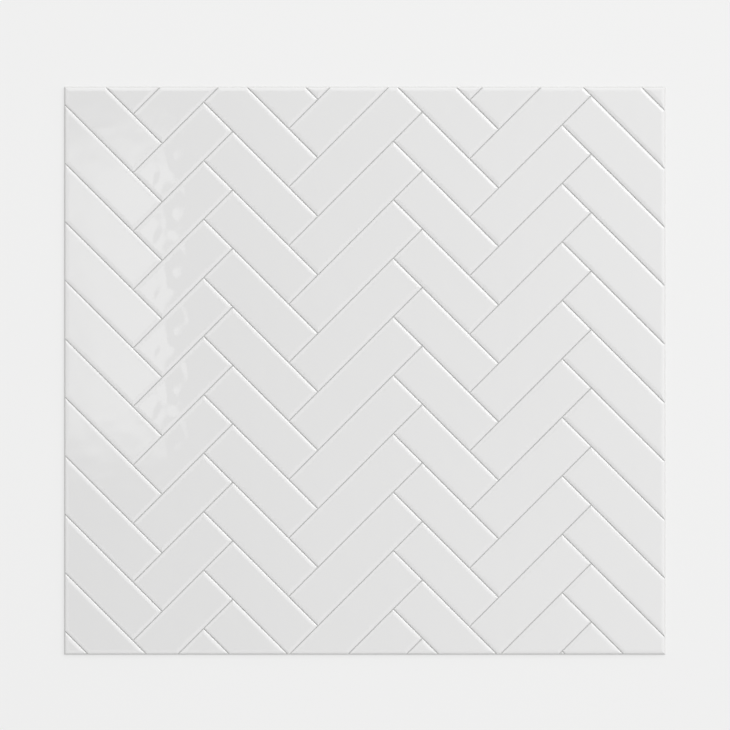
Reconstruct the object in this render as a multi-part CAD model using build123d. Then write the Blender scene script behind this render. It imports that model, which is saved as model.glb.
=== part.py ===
"""A rigid PVC wall panel, one moulded sheet lying on its flat back with its tiled face up.

The face is a herringbone of raised tiles. Each tile has a flat field, edges that roll off like a cushion, and
leaning walls down to a narrow groove. The panel's own sides lean too, and cut through whatever tile they meet.
Millimetres. X runs across the panel, Y up it as it hangs, Z out of its face. The origin is the back's centre.
"""

from build123d import *
import math
import os

# Outline of the sheet
PANEL_WIDTH = 960.0
PANEL_HEIGHT = 907.0
PANEL_THICKNESS = 5.0

# Tiles: one width for all, and one length for each slanted course, from the left edge to the right.
# Lengths and widths are counted from groove to groove. The first and last course run off the panel.
TILE_WIDTH = 66.0
COURSE_TILE_LENGTHS = (240.0, 159.5, 192.0, 236.0, 172.0, 209.0, 240.0)

# Where the pattern starts: the zigzag joint after the first course, and the height of one of its corners
FIRST_ZIGZAG_FROM_LEFT = 133.3
FIRST_ZIGZAG_CORNER_HEIGHT = 22.5

# Section of the face, from a tile's flat field down to the groove beside it
CUSHION_WIDTH = 6.0
CUSHION_DROP = 1.2
GROOVE_DEPTH = 2.5
GROOVE_MOUTH = 1.8
GROOVE_FLOOR = 0.9

# How far the panel's own sides lean in, from the back up to the rolled edge
SIDE_LEAN = 2.0

# Levels above the back
FIELD_LEVEL = PANEL_THICKNESS
SHOULDER_LEVEL = FIELD_LEVEL - CUSHION_DROP
FLOOR_LEVEL = FIELD_LEVEL - GROOVE_DEPTH

# A tile turned by 45 degrees steps this far up the panel, and its end is half that step across
COURSE_STEP = TILE_WIDTH * math.sqrt(2)
ZIGZAG_WIDTH = COURSE_STEP / 2


def cushioned_bar(foot_level, foot_width, shoulder_width, run):
    """A bar along Y from foot_level up to the field, with leaning sides and its two long edges rolled off."""
    half_foot = foot_width / 2
    half_shoulder = shoulder_width / 2
    half_field = half_shoulder - CUSHION_WIDTH
    with BuildPart() as bar:
        with BuildSketch(Plane.XZ):
            with BuildLine():
                Line((0, foot_level), (half_foot, foot_level))
                Line((half_foot, foot_level), (half_shoulder, SHOULDER_LEVEL))
                TangentArc((half_field, FIELD_LEVEL), (half_shoulder, SHOULDER_LEVEL), tangent=(1, 0))
                Line((half_field, FIELD_LEVEL), (0, FIELD_LEVEL))
                mirror(about=Plane.YZ)
            make_face()
        extrude(amount=run / 2, both=True)
    return bar.part


def cushioned_block(foot_level, width, length, foot_loss, shoulder_loss):
    """A block with all four edges rolled off and mitred, narrower than its pitch by the given losses."""
    across = cushioned_bar(foot_level, width - foot_loss, width - shoulder_loss, length)
    along = Rot(Z=90) * cushioned_bar(foot_level, length - foot_loss, length - shoulder_loss, width)
    return across & along


def course_tiles(zigzag_x, corner_y, length, rises):
    """The places of one course's tiles, from below the panel to above it.

    The course starts at the zigzag centred on zigzag_x, which has a left corner at the height corner_y.
    """
    run = length / math.sqrt(2)
    slant = 1 if rises else -1
    lowest = -PANEL_HEIGHT / 2 - run - COURSE_STEP
    first = math.floor((lowest - corner_y) / COURSE_STEP)
    count = math.ceil((PANEL_HEIGHT + 2 * run + 2 * COURSE_STEP) / COURSE_STEP)
    for row in range(first, first + count + 1):
        end_middle_y = corner_y + row * COURSE_STEP - slant * ZIGZAG_WIDTH / 2
        centre = (zigzag_x + run / 2, end_middle_y + slant * run / 2)
        yield Pos(*centre) * Rot(Z=45 * slant)


def herringbone():
    """Every tile of the pattern that reaches the panel, uncut."""
    left = -PANEL_WIDTH / 2
    first_length = COURSE_TILE_LENGTHS[0]
    zigzag_x = left + FIRST_ZIGZAG_FROM_LEFT - first_length / math.sqrt(2)
    corner_y = -PANEL_HEIGHT / 2 + FIRST_ZIGZAG_CORNER_HEIGHT + first_length / math.sqrt(2)
    course = 0
    tiles = []
    while zigzag_x - ZIGZAG_WIDTH / 2 < PANEL_WIDTH / 2:
        length = COURSE_TILE_LENGTHS[course % len(COURSE_TILE_LENGTHS)]
        rises = course % 2 == 1
        tile = Rot(Z=90) * cushioned_block(FLOOR_LEVEL, TILE_WIDTH, length, GROOVE_FLOOR, GROOVE_MOUTH)
        tiles += [place * tile for place in course_tiles(zigzag_x, corner_y, length, rises)]
        zigzag_x += length / math.sqrt(2)
        corner_y += length / math.sqrt(2) * (1 if rises else -1)
        course += 1
    return tiles


def wall_panel():
    """The sheet up to the groove floor, with the tiles that lie inside its outline standing on it."""
    outline = cushioned_block(0, PANEL_WIDTH, PANEL_HEIGHT, 0, 2 * SIDE_LEAN)
    sheet = outline & Pos(0, 0, FLOOR_LEVEL / 2) * Box(PANEL_WIDTH, PANEL_HEIGHT, FLOOR_LEVEL)
    reach = outline.bounding_box()
    raised = []
    for tile in herringbone():
        box = tile.bounding_box()
        if box.max.X < reach.min.X or box.min.X > reach.max.X:
            continue
        if box.max.Y < reach.min.Y or box.min.Y > reach.max.Y:
            continue
        kept = tile & outline
        if kept:
            raised += kept.solids()
    return sheet.fuse(*raised).clean()


os.makedirs("parts", exist_ok=True)
export_step(wall_panel(), "parts/tiled_panel.step")
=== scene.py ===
"""The looks of a moulded PVC wall panel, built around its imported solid.

The panel lies on its back and the camera looks straight down on its tiled face. Lengths are in metres, in the
solid's own frame: X runs across the panel, Y up it as it hangs on a wall, and Z out of its face.
"""

import logging
import math
from abc import ABC, abstractmethod
from dataclasses import dataclass, field
from enum import Enum
from functools import partial
from typing import Any, ClassVar, Iterator

import bpy
import numpy as np
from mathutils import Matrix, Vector
from mathutils.geometry import delaunay_2d_cdt


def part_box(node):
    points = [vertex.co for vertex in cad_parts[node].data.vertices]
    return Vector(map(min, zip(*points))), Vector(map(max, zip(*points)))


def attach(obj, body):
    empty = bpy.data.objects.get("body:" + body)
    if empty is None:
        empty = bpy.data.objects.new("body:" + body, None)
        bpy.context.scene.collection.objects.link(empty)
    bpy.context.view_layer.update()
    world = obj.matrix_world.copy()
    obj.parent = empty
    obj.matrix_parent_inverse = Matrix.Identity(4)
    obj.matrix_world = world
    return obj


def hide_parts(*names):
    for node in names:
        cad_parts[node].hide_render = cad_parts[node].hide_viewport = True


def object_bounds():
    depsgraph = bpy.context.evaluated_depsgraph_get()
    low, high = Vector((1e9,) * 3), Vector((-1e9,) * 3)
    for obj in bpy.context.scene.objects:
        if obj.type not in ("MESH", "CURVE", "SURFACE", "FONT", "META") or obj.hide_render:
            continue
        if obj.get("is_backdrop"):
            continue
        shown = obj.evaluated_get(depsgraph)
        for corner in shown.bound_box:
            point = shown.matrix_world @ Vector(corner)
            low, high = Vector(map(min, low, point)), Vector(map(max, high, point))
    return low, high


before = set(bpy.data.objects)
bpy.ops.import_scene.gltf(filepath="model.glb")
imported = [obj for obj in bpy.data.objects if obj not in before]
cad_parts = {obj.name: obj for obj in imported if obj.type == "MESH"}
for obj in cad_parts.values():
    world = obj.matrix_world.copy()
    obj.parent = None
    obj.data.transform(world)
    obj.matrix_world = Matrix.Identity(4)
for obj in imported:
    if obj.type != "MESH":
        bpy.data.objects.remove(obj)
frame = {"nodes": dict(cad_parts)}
SOLID_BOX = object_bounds()

MM = 0.001
SOLID_NODE = "tiled_panel"
BODY = "root"
LEAST_CORNERS = 3
FILL_WHOLE_HULL = 0

Point = tuple[float, float]
Triple = tuple[float, float, float]
UP: Triple = (0.0, 0.0, 1.0)
DOWN: Triple = (0.0, 0.0, -1.0)
log = logging.getLogger("wall_panel")


class Slant(Enum):
    """Which way a course of tiles runs, seen from left to right."""

    FALLING = -1
    RISING = 1


class Border(Enum):
    """What lies beyond one edge of a tile."""

    GROOVE = "groove"
    RIM = "rim"


class Surface(Enum):
    """The two finishes of the moulding, as places in its list of materials."""

    FACE = 0
    PLAIN = 1


@dataclass(frozen=True)
class Linear:
    """A value that changes evenly over the panel's plane, such as the distance from a line."""

    across: float
    up: float
    constant: float

    def __call__(self, point: Point) -> float:
        """The value at one point."""
        return self.across * point[0] + self.up * point[1] + self.constant

    def __sub__(self, other: "Linear") -> "Linear":
        """The difference of two such values."""
        return Linear(self.across - other.across, self.up - other.up, self.constant - other.constant)

    def above(self, bottom: float) -> "Linear":
        """How far the value lies above the given one."""
        return Linear(self.across, self.up, self.constant - bottom)

    def below(self, top: float) -> "Linear":
        """How far the value lies below the given one."""
        return Linear(-self.across, -self.up, top - self.constant)

    def rescaled(self, zero: float, one: float) -> "Linear":
        """The same value on a scale where the two given ones become 0 and 1."""
        span = one - zero
        return Linear(self.across / span, self.up / span, (self.constant - zero) / span)


def clip(outline: list[Point], keep: Linear) -> list[Point]:
    """Cuts a convex outline along a line.

    Args:
        outline: The corners, in order.
        keep: The value that isn't negative on the side that stays.

    Returns:
        The corners of what stays, which may be none.
    """
    kept: list[Point] = []
    for here, there in zip(outline, outline[1:] + outline[:1]):
        at_here, at_there = keep(here), keep(there)
        if at_here >= 0:
            kept.append(here)
        if (at_here >= 0) != (at_there >= 0):
            share = at_here / (at_here - at_there)
            kept.append((here[0] + share * (there[0] - here[0]), here[1] + share * (there[1] - here[1])))
    return kept


def area(outline: list[Point]) -> float:
    """The area inside an outline that runs anticlockwise."""
    pairs = zip(outline, outline[1:] + outline[:1])
    return sum(a[0] * b[1] - b[0] * a[1] for a, b in pairs) / 2


@dataclass(frozen=True)
class Ring:
    """One level of the moulded section, with where it lies and how steep it is at a groove and at the rim."""

    level: float
    offsets: dict[Border, float]
    slopes: dict[Border, float]


@dataclass(frozen=True)
class FaceSection:
    """The moulded section from a groove, or from the panel's rim, up to a tile's flat field.

    The sizes are the solid's. Only the rounding of the shoulder is added to them.
    """

    thickness: float
    cushion_width: float = 6.0 * MM
    cushion_drop: float = 1.2 * MM
    groove_depth: float = 2.5 * MM
    groove_mouth: float = 1.8 * MM
    groove_floor: float = 0.9 * MM
    side_lean: float = 2.0 * MM
    shoulder_round: float = 0.2 * MM
    cushion_steps: int = 8
    shoulder_steps: int = 4

    @property
    def floor_level(self) -> float:
        """The height of the groove floors above the back."""
        return self.thickness - self.groove_depth

    @property
    def shoulder_level(self) -> float:
        """The height above the back where a groove's wall meets the cushioned edge."""
        return self.thickness - self.cushion_drop

    @property
    def side_slope(self) -> float:
        """How steep the panel's sides are, as an angle."""
        return math.atan2(self.shoulder_level, self.side_lean)

    @property
    def rim_foot(self) -> float:
        """How far the sides have leaned in where they pass the groove floors."""
        return self.side_lean * self.floor_level / self.shoulder_level

    @property
    def cushion_radius(self) -> float:
        """The radius of the arc that rolls a tile's edge off."""
        return (self.cushion_width**2 + self.cushion_drop**2) / (2 * self.cushion_drop)

    def _cushion(self, angle: float, mouth: float) -> Triple:
        """One place on the cushioned edge.

        Args:
            angle: How steep the edge is there.
            mouth: How far the edge's lower end lies from the border's line.

        Returns:
            The level, the offset from the border's line and the angle.
        """
        level = self.thickness - self.cushion_radius * (1 - math.cos(angle))
        offset = mouth + self.cushion_width - self.cushion_radius * math.sin(angle)
        return level, offset, angle

    def _profile(self, border: Border) -> np.ndarray:
        """The section beside one kind of border: a wall, a rounded shoulder and the cushioned edge.

        Args:
            border: What the section rises from.

        Returns:
            Rows of level, offset from the border's line and slope as an angle, from the foot to the field.
        """
        in_groove = border is Border.GROOVE
        foot = self.groove_floor / 2 if in_groove else self.rim_foot
        mouth = self.groove_mouth / 2 if in_groove else self.side_lean
        wall = math.atan2(self.shoulder_level - self.floor_level, mouth - foot)
        steepest = math.asin(self.cushion_width / self.cushion_radius)
        rolled_from = steepest - self.shoulder_round / self.cushion_radius
        corner = np.array((self.shoulder_level, mouth))
        under = corner - self.shoulder_round * np.array((math.sin(wall), math.cos(wall)))
        over = np.array(self._cushion(rolled_from, mouth)[:2])
        rows = [(self.floor_level, foot, wall)]
        for share in np.linspace(0, 1, self.shoulder_steps, endpoint=False):
            place = (1 - share) ** 2 * under + 2 * share * (1 - share) * corner + share**2 * over
            heading = (1 - share) * (corner - under) + share * (over - corner)
            rows.append((*place, math.atan2(*heading)))
        rows += [self._cushion(angle, mouth) for angle in np.linspace(rolled_from, 0, self.cushion_steps + 1)]
        return np.array(rows)

    def rings(self) -> list[Ring]:
        """Works out the levels that the mesh has.

        Returns:
            The rings, from the groove floor to the field, with the section beside both kinds of border.
        """
        profiles = {border: self._profile(border) for border in Border}
        levels = profiles[Border.GROOVE][:, 0]
        offsets = {b: np.interp(levels, rows[:, 0], rows[:, 1]) for b, rows in profiles.items()}
        slopes = {b: np.interp(levels, rows[:, 0], rows[:, 2]) for b, rows in profiles.items()}
        return [
            Ring(
                float(level),
                {b: float(offsets[b][at]) for b in Border},
                {b: float(slopes[b][at]) for b in Border},
            )
            for at, level in enumerate(levels)
        ]


@dataclass(frozen=True)
class Edge:
    """A line that bounds a tile, as the distance from it, and what lies beyond it."""

    distance: Linear
    border: Border


@dataclass(frozen=True)
class Cell:
    """One tile's share of the panel, out to the middle of the grooves around it."""

    outline: list[Point]
    edges: list[Edge]


@dataclass(frozen=True)
class Herringbone:
    """The layout of the face: courses of tiles that fall and rise in turn, at 45 degrees, from left to right.

    Tile widths and lengths are counted from groove to groove, and the pattern starts where the solid's does.
    """

    width: float
    height: float
    tile_width: float = 66.0 * MM
    course_lengths: tuple[float, ...] = tuple(
        length * MM for length in (240.0, 159.5, 192.0, 236.0, 172.0, 209.0, 240.0)
    )
    first_zigzag: float = 133.3 * MM
    first_corner_height: float = 22.5 * MM

    @property
    def step(self) -> float:
        """The height from one tile of a course to the next."""
        return self.tile_width * math.sqrt(2)

    @property
    def zigzag(self) -> float:
        """The width of the zigzag joint between two courses, from its left corners to its right ones."""
        return self.step / 2

    def corners(self, inset: float) -> list[Point]:
        """The corners of the panel's outline, moved in, anticlockwise from the lower left."""
        x, y = self.width / 2 - inset, self.height / 2 - inset
        return [(-x, -y), (x, -y), (x, y), (-x, y)]

    def rim(self) -> list[Edge]:
        """The panel's sides, each starting from the corner that has its place in the list of corners.

        Returns:
            The bottom, the right, the top and the left side.
        """
        half_width, half_height = self.width / 2, self.height / 2
        lines = (
            Linear(0, 1, half_height),
            Linear(-1, 0, half_width),
            Linear(0, -1, half_height),
            Linear(1, 0, half_width),
        )
        return [Edge(line, Border.RIM) for line in lines]

    def _cell(self, middle: Point, length: float, slant: Slant) -> Cell:
        """One uncut tile.

        Args:
            middle: The tile's centre.
            length: Its length, from groove to groove.
            slant: Which way it runs.

        Returns:
            The cell that the tile fills.
        """
        lean = math.sqrt(0.5)
        along = (lean, slant.value * lean)
        aside = (-slant.value * lean, lean)
        edges = []
        for direction, half in ((along, length / 2), (aside, self.tile_width / 2)):
            shift = direction[0] * middle[0] + direction[1] * middle[1]
            edges.append(Edge(Linear(-direction[0], -direction[1], half + shift), Border.GROOVE))
            edges.append(Edge(Linear(direction[0], direction[1], half - shift), Border.GROOVE))
        outline = [
            (
                middle[0] + a * along[0] * length / 2 + b * aside[0] * self.tile_width / 2,
                middle[1] + a * along[1] * length / 2 + b * aside[1] * self.tile_width / 2,
            )
            for a, b in ((-1, -1), (1, -1), (1, 1), (-1, 1))
        ]
        return Cell(outline, edges)

    def _uncut(self) -> Iterator[Cell]:
        """Lays every tile of the pattern, from below the panel to above it.

        Returns:
            The uncut tiles, one by one.
        """
        run = self.course_lengths[0] / math.sqrt(2)
        x = self.first_zigzag - self.width / 2 - run
        y = self.first_corner_height - self.height / 2 + run
        rows = math.ceil((self.height + 2 * max(self.course_lengths)) / self.step)
        for course, length in enumerate(self.course_lengths):
            slant = Slant.RISING if course % 2 else Slant.FALLING
            run = length / math.sqrt(2)
            for row in range(-rows, rows):
                end_middle = y + row * self.step - slant.value * self.zigzag / 2
                yield self._cell((x + run / 2, end_middle + slant.value * run / 2), length, slant)
            x += run
            y += slant.value * run

    def cells(self, reach: float) -> Iterator[Cell]:
        """Cuts the tiles to the panel's outline.

        Args:
            reach: How far in from the rim the rim shapes a tile.

        Returns:
            The tiles that the outline holds, one by one.
        """
        for cell in self._uncut():
            outline = cell.outline
            for side in self.rim():
                outline = clip(outline, side.distance)
            if len(outline) < LEAST_CORNERS:
                continue
            near = [side for side in self.rim() if min(map(side.distance, outline)) < reach]
            yield Cell(outline, cell.edges + near)


@dataclass
class Corners:
    """Places that are welded: two that lie closer than the weld are one corner, with one number."""

    weld: float = 1e-7
    places: list[tuple[float, ...]] = field(default_factory=list)
    numbers: dict[tuple[int, ...], int] = field(default_factory=dict)

    def number(self, place: tuple[float, ...]) -> int:
        """Finds the corner at a place, or adds it.

        Args:
            place: Its two or three coordinates.

        Returns:
            The corner's number.
        """
        key = tuple(round(value / self.weld) for value in place)
        if key not in self.numbers:
            self.numbers[key] = len(self.places)
            self.places.append(place)
        return self.numbers[key]

    def loop(self, outline: list[Point]) -> list[int]:
        """The numbers of an outline's corners, each of them once."""
        return list(dict.fromkeys(self.number(point) for point in outline))


@dataclass
class Moulding:
    """The faces of one closed mesh, which share welded corners."""

    least_area: float = 1e-12
    corners: Corners = field(default_factory=Corners)
    faces: list[list[int]] = field(default_factory=list)
    normals: list[Triple] = field(default_factory=list)
    surfaces: list[Surface] = field(default_factory=list)

    def add(self, places: list[Triple], normals: list[Triple], surface: Surface) -> None:
        """Adds one face, unless it has no area.

        Args:
            places: Its corners, in order.
            normals: The way that the surface faces at each corner.
            surface: Its finish.
        """
        ring: dict[int, Triple] = {}
        for place, normal in zip(places, normals):
            ring.setdefault(self.corners.number(place), normal)
        points = [Vector(self.corners.places[number]) for number in ring]
        doubled = Vector((0.0, 0.0, 0.0))
        for here, there in zip(points[1:], points[2:]):
            doubled += (here - points[0]).cross(there - points[0])
        if doubled.length / 2 < self.least_area:
            return
        self.faces.append(list(ring))
        self.normals += ring.values()
        self.surfaces.append(surface)

    def mesh(self, name: str) -> bpy.types.Mesh:
        """Makes the mesh, smooth where its normals say so.

        Args:
            name: The mesh's name.

        Returns:
            The mesh, with the number of its finish on each face.
        """
        made = bpy.data.meshes.new(name)
        made.from_pydata(self.corners.places, [], self.faces)
        made.polygons.foreach_set("material_index", [surface.value for surface in self.surfaces])
        made.polygons.foreach_set("use_smooth", [True] * len(self.faces))
        made.normals_split_custom_set(self.normals)
        made.update()
        return made


def opaque(colour: Triple) -> tuple[float, ...]:
    """The colour as a shader's socket takes it, with nothing showing through."""
    return (*colour, 1.0)


class Wire:
    """A value on its way through a shader. Arithmetic on it adds Math nodes."""

    def __init__(self, bench: "Bench", socket: bpy.types.NodeSocket | None) -> None:
        """Holds the socket that the value comes from."""
        self.bench = bench
        self.socket = socket

    def beside(self, name: str) -> "Wire":
        """Another value that leaves the same node."""
        return Wire(self.bench, self.socket.node.outputs[name])

    def _math(self, operation: str, first: "Wire | float", second: "Wire | float" = 0.0) -> "Wire":
        """One Math node on one or two values."""
        return self.bench.node("ShaderNodeMath", {"operation": operation}, {0: first, 1: second})

    def __add__(self, other: "Wire | float") -> "Wire":
        """The sum."""
        return self._math("ADD", self, other)

    def __radd__(self, other: float) -> "Wire":
        """The sum, with the number first."""
        return self._math("ADD", other, self)

    def __sub__(self, other: "Wire | float") -> "Wire":
        """The difference."""
        return self._math("SUBTRACT", self, other)

    def __rsub__(self, other: float) -> "Wire":
        """The difference, with the number first."""
        return self._math("SUBTRACT", other, self)

    def __mul__(self, other: "Wire | float") -> "Wire":
        """The product."""
        return self._math("MULTIPLY", self, other)

    def __rmul__(self, other: float) -> "Wire":
        """The product, with the number first."""
        return self._math("MULTIPLY", other, self)

    def sine(self) -> "Wire":
        """The sine."""
        return self._math("SINE", self)

    def cosine(self) -> "Wire":
        """The cosine."""
        return self._math("COSINE", self)


class Bench:
    """The node tree of one material or of the world, while it is wired."""

    def __init__(self, tree: bpy.types.NodeTree) -> None:
        """Starts from an empty tree."""
        self.tree = tree
        tree.nodes.clear()

    def node(
        self,
        kind: str,
        settings: dict[str, Any] | None = None,
        inputs: dict[str | int, Any] | None = None,
        output: str | int = 0,
    ) -> Wire:
        """Adds one node.

        Args:
            kind: The node's type.
            settings: Its settings, such as a Math node's operation.
            inputs: The value, or the wire, of each socket that differs from its default.
            output: The socket to go on from.

        Returns:
            The wire that leaves the node.
        """
        made = self.tree.nodes.new(kind)
        for name, value in (settings or {}).items():
            setattr(made, name, value)
        for name, value in (inputs or {}).items():
            if isinstance(value, Wire):
                self.tree.links.new(value.socket, made.inputs[name])
            else:
                made.inputs[name].default_value = value
        return Wire(self, made.outputs[output] if made.outputs else None)

    def place(self) -> Wire:
        """Where on the object the shaded point lies."""
        return self.node("ShaderNodeTexCoord", output="Object")

    def split(self, vector: Wire) -> tuple[Wire, Wire, Wire]:
        """The three coordinates of a place or a direction."""
        parts = self.node("ShaderNodeSeparateXYZ", inputs={"Vector": vector})
        return parts.beside("X"), parts.beside("Y"), parts.beside("Z")

    def wrapped(self, place: Wire, period: float) -> Wire:
        """Rolls the panel's plane up, so that a texture repeats up it.

        Args:
            place: Where on the object the shaded point lies.
            period: The height after which the texture repeats.

        Returns:
            The place on the roll.
        """
        across, up, _ = self.split(place)
        radius = period / (2 * math.pi)
        turn = up * (1 / radius)
        rolled = {"X": across, "Y": turn.cosine() * radius, "Z": turn.sine() * radius}
        return self.node("ShaderNodeCombineXYZ", inputs=rolled)

    def noise(self, place: Wire, scale: float, detail: float = 0.0, distortion: float = 0.0) -> Wire:
        """Clouds of noise.

        Args:
            place: Where the noise is read.
            scale: How many clouds there are to the metre.
            detail: How many times finer clouds are added.
            distortion: How much the clouds are twisted.

        Returns:
            The noise, from 0 to 1.
        """
        inputs = {"Vector": place, "Scale": scale, "Detail": detail, "Distortion": distortion}
        return self.node("ShaderNodeTexNoise", inputs=inputs)

    def between(self, value: Wire, low: float, high: float) -> Wire:
        """How far a value is on its way from low to high, from 0 to 1, with soft ends."""
        ends = {"Value": value, "From Min": low, "From Max": high}
        return self.node("ShaderNodeMapRange", {"interpolation_type": "SMOOTHSTEP"}, ends)

    def mixed(self, share: Wire, first: Wire | Triple, second: Wire | Triple) -> Wire:
        """Mixes two colours.

        Args:
            share: How much of the second there is.
            first: The colour at 0.
            second: The colour at 1.

        Returns:
            The mixed colour.
        """
        a, b = (colour if isinstance(colour, Wire) else opaque(colour) for colour in (first, second))
        return self.node("ShaderNodeMix", {"data_type": "RGBA"}, {"Factor": share, "A": a, "B": b}, "Result")

    def relief(self, height: Wire, depth: float, over: Wire | None = None) -> Wire:
        """Bumps the surface.

        Args:
            height: The relief, on a scale of its own.
            depth: How high 1 on that scale is.
            over: A coarser relief that it lies on.

        Returns:
            The normal.
        """
        inputs = {"Height": height, "Distance": depth}
        if over is not None:
            inputs["Normal"] = over
        return self.node("ShaderNodeBump", inputs=inputs)


@dataclass(frozen=True)
class Finish(ABC):
    """A finish of one surface."""

    name: ClassVar[str]

    @abstractmethod
    def sockets(self, bench: Bench) -> dict[str, Any]:
        """The values and wires of the shader's sockets."""

    def surface(self, bench: Bench, shader: Wire) -> Wire:
        """What the surface shows, which is its shader alone unless a finish adds to it."""
        return shader

    def make(self) -> bpy.types.Material:
        """Makes the material.

        Returns:
            The material, wired.
        """
        material = bpy.data.materials.new(self.name)
        material.use_nodes = True
        bench = Bench(material.node_tree)
        shader = bench.node("ShaderNodeBsdfPrincipled", inputs=self.sockets(bench))
        bench.node("ShaderNodeOutputMaterial", inputs={"Surface": self.surface(bench, shader)})
        return material


@dataclass(frozen=True)
class GlossPvc(Finish):
    """The moulded face: white PVC with a high gloss, faintly wavy as a hot-formed sheet is.

    Most of the waves come from the mould, so they are nearly the same on each tile of a course.
    The grooves are duller, and their colour is a darker grey painted in as shade.
    """

    name: ClassVar[str] = "gloss_white_pvc"
    section: FaceSection
    tile_step: float
    field_colour: Triple = (0.783, 0.781, 0.779)
    cloud_colour: Triple = (0.769, 0.767, 0.765)
    # Painted shade: the grooves are the same white PVC, and this darker grey stands in for the shade that
    # falls in them.
    groove_painted_shade: Triple = (0.58, 0.58, 0.575)
    cloud_scale: float = 5.0
    cloud_detail: float = 4.0
    gloss: float = 0.012
    gloss_change: float = 0.012
    groove_dullness: float = 0.3
    wave_scale: float = 34.0
    wave_height: float = 0.10 * MM
    wave_twist: float = 0.4
    wave_change: float = 0.4
    peel_scale: float = 420.0
    peel_detail: float = 1.0
    peel_height: float = 0.0016 * MM
    refraction: float = 1.53

    def sockets(self, bench: Bench) -> dict[str, Any]:
        """Wires the face.

        Args:
            bench: The material's node tree.

        Returns:
            The values and wires of the shader's sockets.
        """
        place = bench.place()
        level = bench.split(place)[2]
        in_groove = 1 - bench.between(level, self.section.floor_level, self.section.shoulder_level)
        clouds = bench.noise(place, self.cloud_scale, self.cloud_detail)
        white = bench.mixed(clouds, self.field_colour, self.cloud_colour)
        on_tile = bench.wrapped(place, self.tile_step)
        mould_waves = bench.noise(on_tile, self.wave_scale, distortion=self.wave_twist)
        waves = mould_waves + self.wave_change * bench.noise(place, self.wave_scale)
        peel = bench.noise(place, self.peel_scale, self.peel_detail)
        return {
            # Base Color: random tone clouds, and painted shade in the grooves, where a darker grey stands in
            # for their shade.
            "Base Color": bench.mixed(in_groove, white, self.groove_painted_shade),
            "Roughness": self.gloss + self.gloss_change * clouds + self.groove_dullness * in_groove,
            "Normal": bench.relief(peel, self.peel_height, bench.relief(waves, self.wave_height)),
            "IOR": self.refraction,
        }


@dataclass(frozen=True)
class SatinPvc(Finish):
    """The back and the sides: the same PVC, unpolished, with a fine even tooth."""

    name: ClassVar[str] = "satin_white_pvc"
    colour: Triple = (0.70, 0.70, 0.69)
    cloud_colour: Triple = (0.66, 0.66, 0.65)
    cloud_scale: float = 9.0
    cloud_detail: float = 4.0
    dullness: float = 0.5
    dullness_change: float = 0.1
    tooth_scale: float = 900.0
    tooth_detail: float = 2.0
    tooth_height: float = 0.03 * MM
    refraction: float = 1.53

    def sockets(self, bench: Bench) -> dict[str, Any]:
        """Wires the back and the sides.

        Args:
            bench: The material's node tree.

        Returns:
            The values and wires of the shader's sockets.
        """
        place = bench.place()
        clouds = bench.noise(place, self.cloud_scale, self.cloud_detail)
        tooth = bench.noise(place, self.tooth_scale, self.tooth_detail)
        return {
            "Base Color": bench.mixed(clouds, self.colour, self.cloud_colour),
            "Roughness": self.dullness + self.dullness_change * tooth,
            "Normal": bench.relief(tooth, self.tooth_height),
            "IOR": self.refraction,
        }


@dataclass(frozen=True)
class FloorPaint(Finish):
    """The floor's pale, quite dull paint, which shows partly as an even backdrop that no shadow reaches."""

    name: ClassVar[str] = "pale_floor_paint"
    colour: Triple = (0.885, 0.885, 0.883)
    dullness: float = 0.9
    gloss: float = 0.0
    backdrop: Triple = (0.872, 0.872, 0.870)
    backdrop_share: float = 0.4

    def sockets(self, bench: Bench) -> dict[str, Any]:
        """The values of the shader's sockets."""
        return {
            "Base Color": opaque(self.colour),
            "Roughness": self.dullness,
            "Specular IOR Level": self.gloss,
        }

    def surface(self, bench: Bench, shader: Wire) -> Wire:
        """Mixes the backdrop in, for rays that show it.

        Args:
            bench: The material's node tree.
            shader: The paint's own shader.

        Returns:
            The mixed shader.
        """
        ray = bench.node("ShaderNodeLightPath")
        is_seen = ray.beside("Is Camera Ray") + ray.beside("Is Transmission Ray")
        even = bench.node("ShaderNodeEmission", inputs={"Color": opaque(self.backdrop)})
        mix = {0: self.backdrop_share * (is_seen + ray.beside("Is Glossy Ray")), 1: shader, 2: even}
        return bench.node("ShaderNodeMixShader", inputs=mix)


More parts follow.
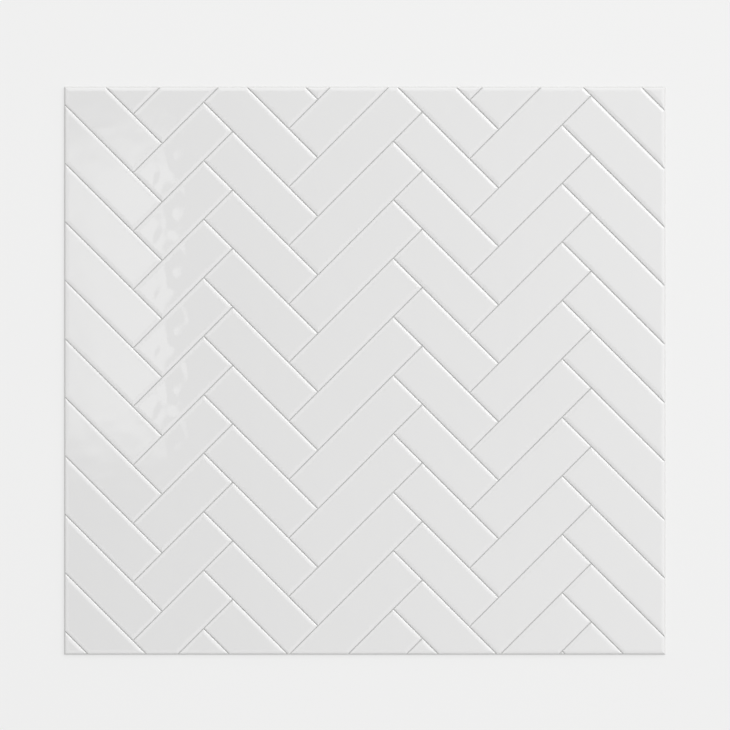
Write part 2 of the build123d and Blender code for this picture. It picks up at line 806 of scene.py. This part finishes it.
@dataclass
class TiledPanel:
    """The whole panel: one moulded sheet with a herringbone of cushioned tiles."""

    section: FaceSection
    layout: Herringbone
    name: str = "herringbone_panel"
    least_foot: float = 2.0 * MM**2
    moulding: Moulding = field(default_factory=Moulding)

    @classmethod
    def over(cls, node: str) -> "TiledPanel":
        """Takes the panel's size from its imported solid.

        Args:
            node: The solid's node.

        Returns:
            The panel, not yet built.
        """
        low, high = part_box(node)
        size = high - low
        return cls(FaceSection(size.z), Herringbone(size.x, size.y))

    def _strip(self, cell: Cell, edge: Edge, lower: Ring, upper: Ring) -> None:
        """Adds the part of one level's slope that belongs to one edge of a tile.

        Args:
            cell: The tile.
            edge: The edge that the slope runs along.
            lower: Where the slope starts.
            upper: Where it ends.
        """
        climbs = {
            other: other.distance.rescaled(lower.offsets[other.border], upper.offsets[other.border])
            for other in cell.edges
        }
        climb = climbs[edge]
        outline = clip(clip(cell.outline, climb), climb.below(1.0))
        for other in cell.edges:
            if other is not edge:
                outline = clip(outline, climbs[other] - climb)
        low_slope, high_slope = lower.slopes[edge.border], upper.slopes[edge.border]
        places, normals = [], []
        for point in outline:
            share = climb(point)
            slope = low_slope + share * (high_slope - low_slope)
            tilt = math.sin(slope)
            places.append((*point, lower.level + share * (upper.level - lower.level)))
            normals.append((-edge.distance.across * tilt, -edge.distance.up * tilt, math.cos(slope)))
        is_side = edge.border is Border.RIM and lower.level == self.section.floor_level
        self.moulding.add(places, normals, Surface.PLAIN if is_side else Surface.FACE)

    def _flat(self, outline: list[Point], level: float) -> None:
        """Adds one level face that looks up."""
        places = [(*point, level) for point in outline]
        self.moulding.add(places, [UP] * len(places), Surface.FACE)

    def _tile(self, cell: Cell, rings: list[Ring]) -> list[Point]:
        """Adds one raised tile.

        Args:
            cell: The tile.
            rings: The levels of its section.

        Returns:
            The outline of its foot on the groove floor, which is empty for a sliver that isn't moulded.
        """
        foot, top = cell.outline, cell.outline
        for edge in cell.edges:
            foot = clip(foot, edge.distance.above(rings[0].offsets[edge.border]))
            top = clip(top, edge.distance.above(rings[-1].offsets[edge.border]))
        if len(foot) < LEAST_CORNERS or area(foot) < self.least_foot:
            return []
        for lower, upper in zip(rings, rings[1:]):
            for edge in cell.edges:
                self._strip(cell, edge, lower, upper)
        self._flat(top, rings[-1].level)
        return foot

    def _around(self, feet: list[list[Point]]) -> list[Point]:
        """Goes around the panel at the level of the groove floors, anticlockwise.

        Args:
            feet: The outlines of the tiles' feet.

        Returns:
            The panel's corners at that level, and the points between them where a foot meets a side.
        """
        met = Corners()
        inset = self.section.rim_foot
        for side, start in zip(self.layout.rim(), self.layout.corners(inset)):
            reach = side.distance.above(inset)
            on_side = [point for foot in feet for point in foot if abs(reach(point)) < met.weld]
            met.loop([start, *sorted(on_side, key=partial(math.dist, start))])
        return met.places

    def _groove_floor(self, feet: list[list[Point]], around: list[Point]) -> None:
        """Adds the floor of all the grooves, between the feet of the tiles.

        Args:
            feet: The outlines of the tiles' feet.
            around: The points around the panel at that level.
        """
        plan = Corners()
        loops = [plan.loop(foot) for foot in feet]
        outer = plan.loop(around)
        sides = list(zip(outer, outer[1:] + outer[:1]))
        flat = [Vector(point) for point in plan.places]
        found = delaunay_2d_cdt(flat, sides, loops, FILL_WHOLE_HULL, plan.weld, True)
        _, _, triangles, origins, _, feet_below = found
        for triangle, under_foot in zip(triangles, feet_below):
            if not under_foot:
                self._flat([plan.places[origins[at][0]] for at in triangle], self.section.floor_level)

    def _sides_and_back(self, around: list[Point]) -> None:
        """Adds the leaning sides below the groove floors, and the flat back.

        Args:
            around: The points around the panel at the level of the groove floors.
        """
        lost = 2 * self.section.rim_foot
        wider = self.layout.width / (self.layout.width - lost)
        higher = self.layout.height / (self.layout.height - lost)
        upper = [(*point, self.section.floor_level) for point in around]
        lower = [(x * wider, y * higher, 0.0) for x, y in around]
        tilt, rise = math.sin(self.section.side_slope), math.cos(self.section.side_slope)
        for last, (low, high) in enumerate(zip(lower, upper), start=-1):
            along = Vector(low) - Vector(lower[last])
            outward = Vector((along.y, -along.x)).normalized()
            facing = (outward.x * tilt, outward.y * tilt, rise)
            side = [lower[last], low, high, upper[last]]
            self.moulding.add(side, [facing] * len(side), Surface.PLAIN)
        self.moulding.add(lower[::-1], [DOWN] * len(lower), Surface.PLAIN)

    def build(self) -> bpy.types.Object:
        """Makes the panel's mesh in the place of its solid.

        Returns:
            The panel, without its finishes.
        """
        rings = self.section.rings()
        reach = rings[-1].offsets[Border.RIM]
        feet = [self._tile(cell, rings) for cell in self.layout.cells(reach)]
        feet = [foot for foot in feet if foot]
        around = self._around(feet)
        self._groove_floor(feet, around)
        self._sides_and_back(around)
        piece = bpy.data.objects.new(self.name, self.moulding.mesh(self.name))
        bpy.context.scene.collection.objects.link(piece)
        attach(piece, BODY)
        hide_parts(SOLID_NODE)
        log.info("%s: %d tiles, %d faces", self.name, len(feet), len(self.moulding.faces))
        return piece

    def dress(self, piece: bpy.types.Object) -> None:
        """Gives the panel its two finishes, in the order of the surfaces.

        Args:
            piece: The panel.
        """
        for finish in (GlossPvc(self.section, self.layout.step), SatinPvc()):
            piece.data.materials.append(finish.make())
            log.info("%s: finish %s", piece.name, finish.name)


@dataclass(frozen=True)
class Floor:
    """The pale floor, just under the panel's back."""

    name: str = "floor"
    side: float = 30.0
    gap: float = 0.2 * MM
    paint: FloorPaint = FloorPaint()

    def build(self) -> bpy.types.Object:
        """Lays and paints the floor.

        Returns:
            The floor.
        """
        half = self.side / 2
        corners = [(-half, -half, 0), (half, -half, 0), (half, half, 0), (-half, half, 0)]
        mesh = bpy.data.meshes.new(self.name)
        mesh.from_pydata(corners, [], [range(len(corners))])
        mesh.materials.append(self.paint.make())
        floor = bpy.data.objects.new(self.name, mesh)
        floor.location.z = -self.gap
        bpy.context.scene.collection.objects.link(floor)
        floor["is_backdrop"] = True
        return floor


@dataclass(frozen=True)
class Softbox:
    """A level rectangular lamp that shines straight down."""

    name: str
    place: Triple
    width: float
    depth: float
    radiance: float

    def build(self) -> bpy.types.Object:
        """Hangs the lamp. It lights and is mirrored, and the camera doesn't see it.

        Returns:
            The lamp.
        """
        lamp = bpy.data.lights.new(self.name, "AREA")
        lamp.shape = "RECTANGLE"
        lamp.size = self.width
        lamp.size_y = self.depth
        lamp.energy = self.radiance * math.pi * self.width * self.depth
        hung = bpy.data.objects.new(self.name, lamp)
        hung.location = self.place
        hung.visible_camera = False
        bpy.context.scene.collection.objects.link(hung)
        return hung


@dataclass(frozen=True)
class Window:
    """A bright window overhead that the gloss mirrors.

    It is placed by the X and Y of a direction, and each side has where its glow starts and where it is full.
    """

    glow: float = 1.45
    left: Point = (-0.123, -0.081)
    right: Point = (-0.0622, -0.0631)
    bottom: Point = (-0.039, -0.012)
    top: Point = (0.085, 0.058)

    def light(self, bench: Bench, across: Wire, up: Wire) -> Wire:
        """How much the window adds in a direction.

        Args:
            bench: The world's node tree.
            across: The direction's X.
            up: The direction's Y.

        Returns:
            The added light.
        """
        beside = bench.between(across, *self.left) * bench.between(across, *self.right)
        return self.glow * beside * bench.between(up, *self.bottom) * bench.between(up, *self.top)


@dataclass(frozen=True)
class Room:
    """The pale room around the scene.

    It lights more from the upper right, and the gloss mirrors its window, a ceiling that is brighter around
    than overhead and brighter to the right, and its darker walls. Angles are from straight up, in degrees.
    """

    name: str = "room"
    light: float = 0.755
    light_lean: float = 0.2
    shown: float = 0.9
    overhead: float = 0.8
    around: float = 1.5
    walls: float = 0.4
    mirrored_lean: float = 6.5
    overhead_angles: Point = (6.0, 14.0)
    wall_angles: Point = (45.0, 80.0)
    colour: Triple = (1.0, 1.0, 1.0)
    window: Window = Window()

    def _heading(self, bench: Bench) -> tuple[Wire, Wire, Wire]:
        """The X, Y and Z of the direction that light comes from."""
        return bench.split(bench.node("ShaderNodeTexCoord", output="Generated"))

    def _lighting(self, bench: Bench) -> Wire:
        """The light that falls on the scene from each direction."""
        across, up, _ = self._heading(bench)
        return self.light + self.light_lean * (across + up)

    def _beyond(self, bench: Bench, rise: Wire, angles: Point) -> Wire:
        """How far a direction is on its way from one angle to the other, from 0 to 1."""
        near, far = (math.cos(math.radians(angle)) for angle in angles)
        return 1 - bench.between(rise, far, near)

    def _mirrored(self, bench: Bench) -> Wire:
        """What the gloss mirrors.

        Args:
            bench: The world's node tree.

        Returns:
            The light from each direction.
        """
        across, up, rise = self._heading(bench)
        ring = self._beyond(bench, rise, self.overhead_angles)
        low = self._beyond(bench, rise, self.wall_angles)
        room = self.overhead + (self.around - self.overhead) * ring - (self.around - self.walls) * low
        return room + self.mirrored_lean * across * (1 - ring) + self.window.light(bench, across, up)

    def build(self) -> bpy.types.World:
        """Makes the world, which lights, shows to the camera and is mirrored at a level of its own each.

        Returns:
            The world.
        """
        world = bpy.data.worlds.new(self.name)
        world.use_nodes = True
        bench = Bench(world.node_tree)
        ray = bench.node("ShaderNodeLightPath")
        lighting, showing, mirroring = (
            bench.node("ShaderNodeBackground", inputs={"Color": opaque(self.colour), "Strength": strength})
            for strength in (self._lighting(bench), self.shown, self._mirrored(bench))
        )
        is_seen = ray.beside("Is Camera Ray") + ray.beside("Is Transmission Ray")
        mix = bench.node("ShaderNodeMixShader", inputs={0: is_seen, 1: lighting, 2: showing})
        mix = bench.node("ShaderNodeMixShader", inputs={0: ray.beside("Is Glossy Ray"), 1: mix, 2: mirroring})
        bench.node("ShaderNodeOutputWorld", inputs={"Surface": mix})
        bpy.context.scene.world = world
        return world


@dataclass(frozen=True)
class PhotoFrame:
    """Where the panel lies in the picture, in pixels of a square frame."""

    side: float = 730.0
    left: float = 64.0
    right: float = 665.7
    top: float = 86.3
    bottom: float = 655.0

    @property
    def middle(self) -> Point:
        """The frame's middle, from the panel's, in pixels across and up."""
        return (self.side - self.left - self.right) / 2, (self.top + self.bottom - self.side) / 2


@dataclass(frozen=True)
class Viewpoint:
    """A camera straight above the panel, which frames it as the photograph does."""

    name: str = "camera"
    height: float = 5.0
    sensor: float = 36.0
    photo: PhotoFrame = PhotoFrame()

    def build(self, panel_width: float, face_level: float) -> bpy.types.Object:
        """Sets up the camera.

        Args:
            panel_width: How wide the panel is.
            face_level: How high its face lies.

        Returns:
            The camera.
        """
        pixel = panel_width / (self.photo.right - self.photo.left)
        lens = bpy.data.cameras.new(self.name)
        lens.sensor_width = self.sensor
        lens.lens = self.sensor * (self.height - face_level) / (self.photo.side * pixel)
        camera = bpy.data.objects.new(self.name, lens)
        across, up = self.photo.middle
        camera.location = (across * pixel, up * pixel, self.height)
        bpy.context.scene.collection.objects.link(camera)
        bpy.context.scene.camera = camera
        return camera


@dataclass(frozen=True)
class Studio:
    """The floor, the room, the key lamp from the upper right, and the camera."""

    floor: Floor = Floor()
    room: Room = Room()
    key: Softbox = Softbox("key_softbox", (12.6, 12.5, 10.8), width=18.0, depth=18.0, radiance=2.6)
    viewpoint: Viewpoint = Viewpoint()

    def build(self, panel: TiledPanel) -> None:
        """Sets everything up around the panel.

        Args:
            panel: The panel that the camera frames.
        """
        camera = self.viewpoint.build(panel.layout.width, panel.section.thickness)
        for piece in (self.floor.build(), self.room.build(), self.key.build(), camera):
            log.info("studio: %s", piece.name)
        bpy.context.scene.view_settings.view_transform = "Standard"


def write_sizes() -> None:
    """Works out the solid's box and the dressed panel's box, but does nothing with them."""
    boxes = {"cad": SOLID_BOX, "visual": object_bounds()}
    {name: [list(corner) for corner in box] for name, box in boxes.items()}


def main() -> None:
    """Builds and dresses the panel, then sets up the studio around it."""
    logging.basicConfig(level=logging.INFO)
    log.info("frame: %s", ", ".join(frame["nodes"]))
    panel = TiledPanel.over(SOLID_NODE)
    panel.dress(panel.build())
    Studio().build(panel)
    write_sizes()


if __name__ == "__main__":
    main()
